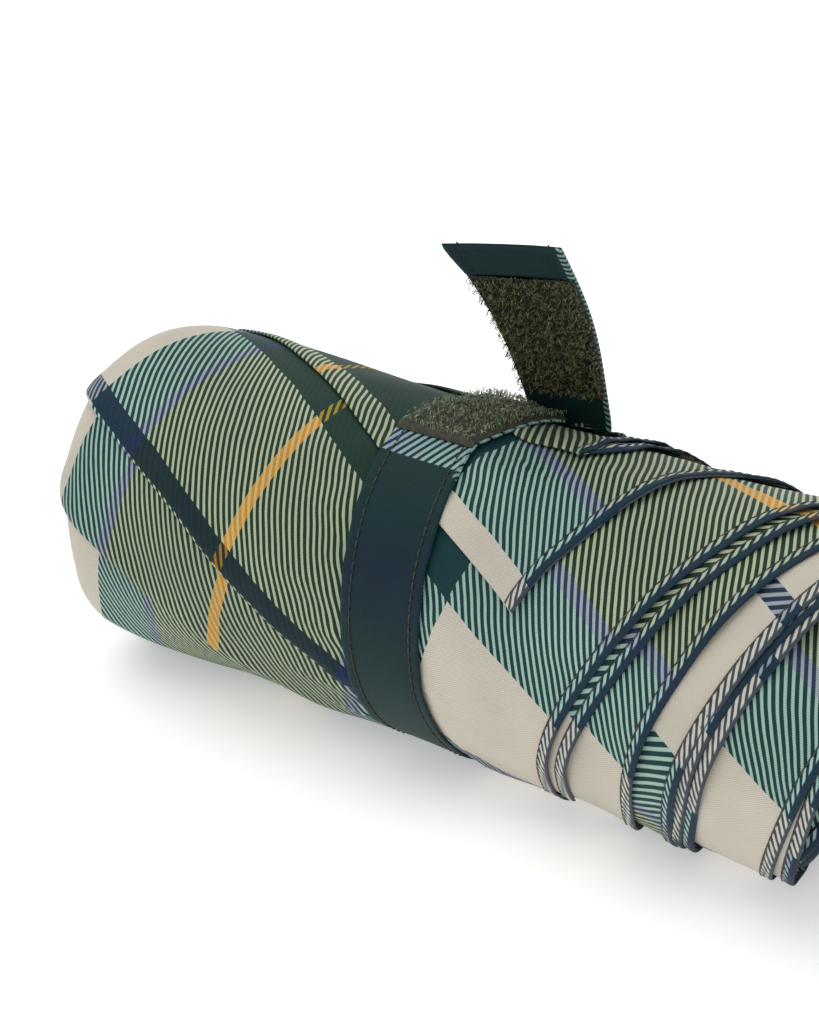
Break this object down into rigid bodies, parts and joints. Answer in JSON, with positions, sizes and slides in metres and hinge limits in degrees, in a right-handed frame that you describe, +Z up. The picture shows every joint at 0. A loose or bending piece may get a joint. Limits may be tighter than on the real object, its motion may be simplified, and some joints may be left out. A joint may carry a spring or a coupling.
{
  "type": "compact folding umbrella",
  "caption": "Compact folding umbrella, closed and loosely rolled, its cloth wound round the folded ribs and the closure strap's free end standing open.",
  "frame": {"origin": "on the floor, under the middle of the umbrella's length", "axes": "+X along the shaft from the crown to the handle, +Y to the back, away from the strap's closing side, +Z up from the floor it lies on"},
  "size_m": [0.29, 0.0786, 0.1262],
  "materials": {
    "tartan_cloth": "satin",
    "strap_cloth": "satin",
    "hook_tape": "matte",
    "loop_tape": "matte",
    "moulded_plastic": "matte",
    "grip_plastic": "matte",
    "tube_steel": "polished",
    "rib_steel": "satin",
    "wire": "satin"
  },
  "bodies": {
    "canopy": {"top_cap": "moulded_plastic", "crown": "moulded_plastic", "pivot_wires": "wire", "outer_tube": "tube_steel", "runner": "moulded_plastic", "top_rib_1": "rib_steel", "top_rib_2": "rib_steel", "top_rib_3": "rib_steel", "top_rib_4": "rib_steel", "top_rib_5": "rib_steel", "top_rib_6": "rib_steel", "top_rib_7": "rib_steel", "top_rib_8": "rib_steel", "stretcher_1": "rib_steel", "stretcher_2": "rib_steel", "stretcher_3": "rib_steel", "stretcher_4": "rib_steel", "stretcher_5": "rib_steel", "stretcher_6": "rib_steel", "stretcher_7": "rib_steel", "stretcher_8": "rib_steel", "middle_rib_1": "rib_steel", "middle_rib_2": "rib_steel", "middle_rib_3": "rib_steel", "middle_rib_4": "rib_steel", "middle_rib_5": "rib_steel", "middle_rib_6": "rib_steel", "middle_rib_7": "rib_steel", "middle_rib_8": "rib_steel", "outer_rib_1": "rib_steel", "outer_rib_2": "rib_steel", "outer_rib_3": "rib_steel", "outer_rib_4": "rib_steel", "outer_rib_5": "rib_steel", "outer_rib_6": "rib_steel", "outer_rib_7": "rib_steel", "outer_rib_8": "rib_steel", "link_wires": "wire", "rivets": "wire", "rib_tips": "moulded_plastic", "gore_1": "tartan_cloth", "gore_2": "tartan_cloth", "gore_3": "tartan_cloth", "gore_4": "tartan_cloth", "gore_5": "tartan_cloth", "gore_6": "tartan_cloth", "gore_7": "tartan_cloth", "gore_8": "tartan_cloth", "strap_band": "strap_cloth", "hook_patch": "hook_tape"},
    "top_catch": {"top_catch": "wire"},
    "middle_tube": {"middle_tube": "tube_steel"},
    "handle": {"inner_tube": "tube_steel", "handle_collar": "moulded_plastic", "handle_grip": "grip_plastic", "handle_end_cap": "moulded_plastic"},
    "tab_root": {"tab_root": "strap_cloth", "loop_patch_root": "loop_tape"},
    "tab_tip": {"tab_tip": "strap_cloth", "loop_patch_tip": "loop_tape"}
  },
  "joints": [
    {"name": "middle_tube_slide", "type": "slide", "parent": "canopy", "child": "middle_tube", "axis": [1, 0, 0], "range_m": [0, 0.125]},
    {"name": "inner_tube_slide", "type": "slide", "parent": "middle_tube", "child": "handle", "axis": [1, 0, 0], "range_m": [0, 0.125]},
    {"name": "catch_press", "type": "slide", "parent": "canopy", "child": "top_catch", "axis": [0, -0.9239, -0.3827], "range_m": [0, 0.0013], "stiffness_N_per_m": 1500, "springref_m": -0.001},
    {"name": "tab_fold", "type": "hinge", "parent": "canopy", "child": "tab_root", "pos_m": [-0.04277, 0.01837, 0.07737], "axis": [1, 0, 0], "range_deg": [-60, 40]},
    {"name": "tab_bend", "type": "hinge", "parent": "tab_root", "child": "tab_tip", "pos_m": [-0.04277, 0.00565, 0.10288], "axis": [1, 0, 0], "range_deg": [-75, 50]}
  ],
  "couplings": [
    {"joint": "tab_bend", "follows": "tab_fold", "ratio": 1.25}
  ]
}
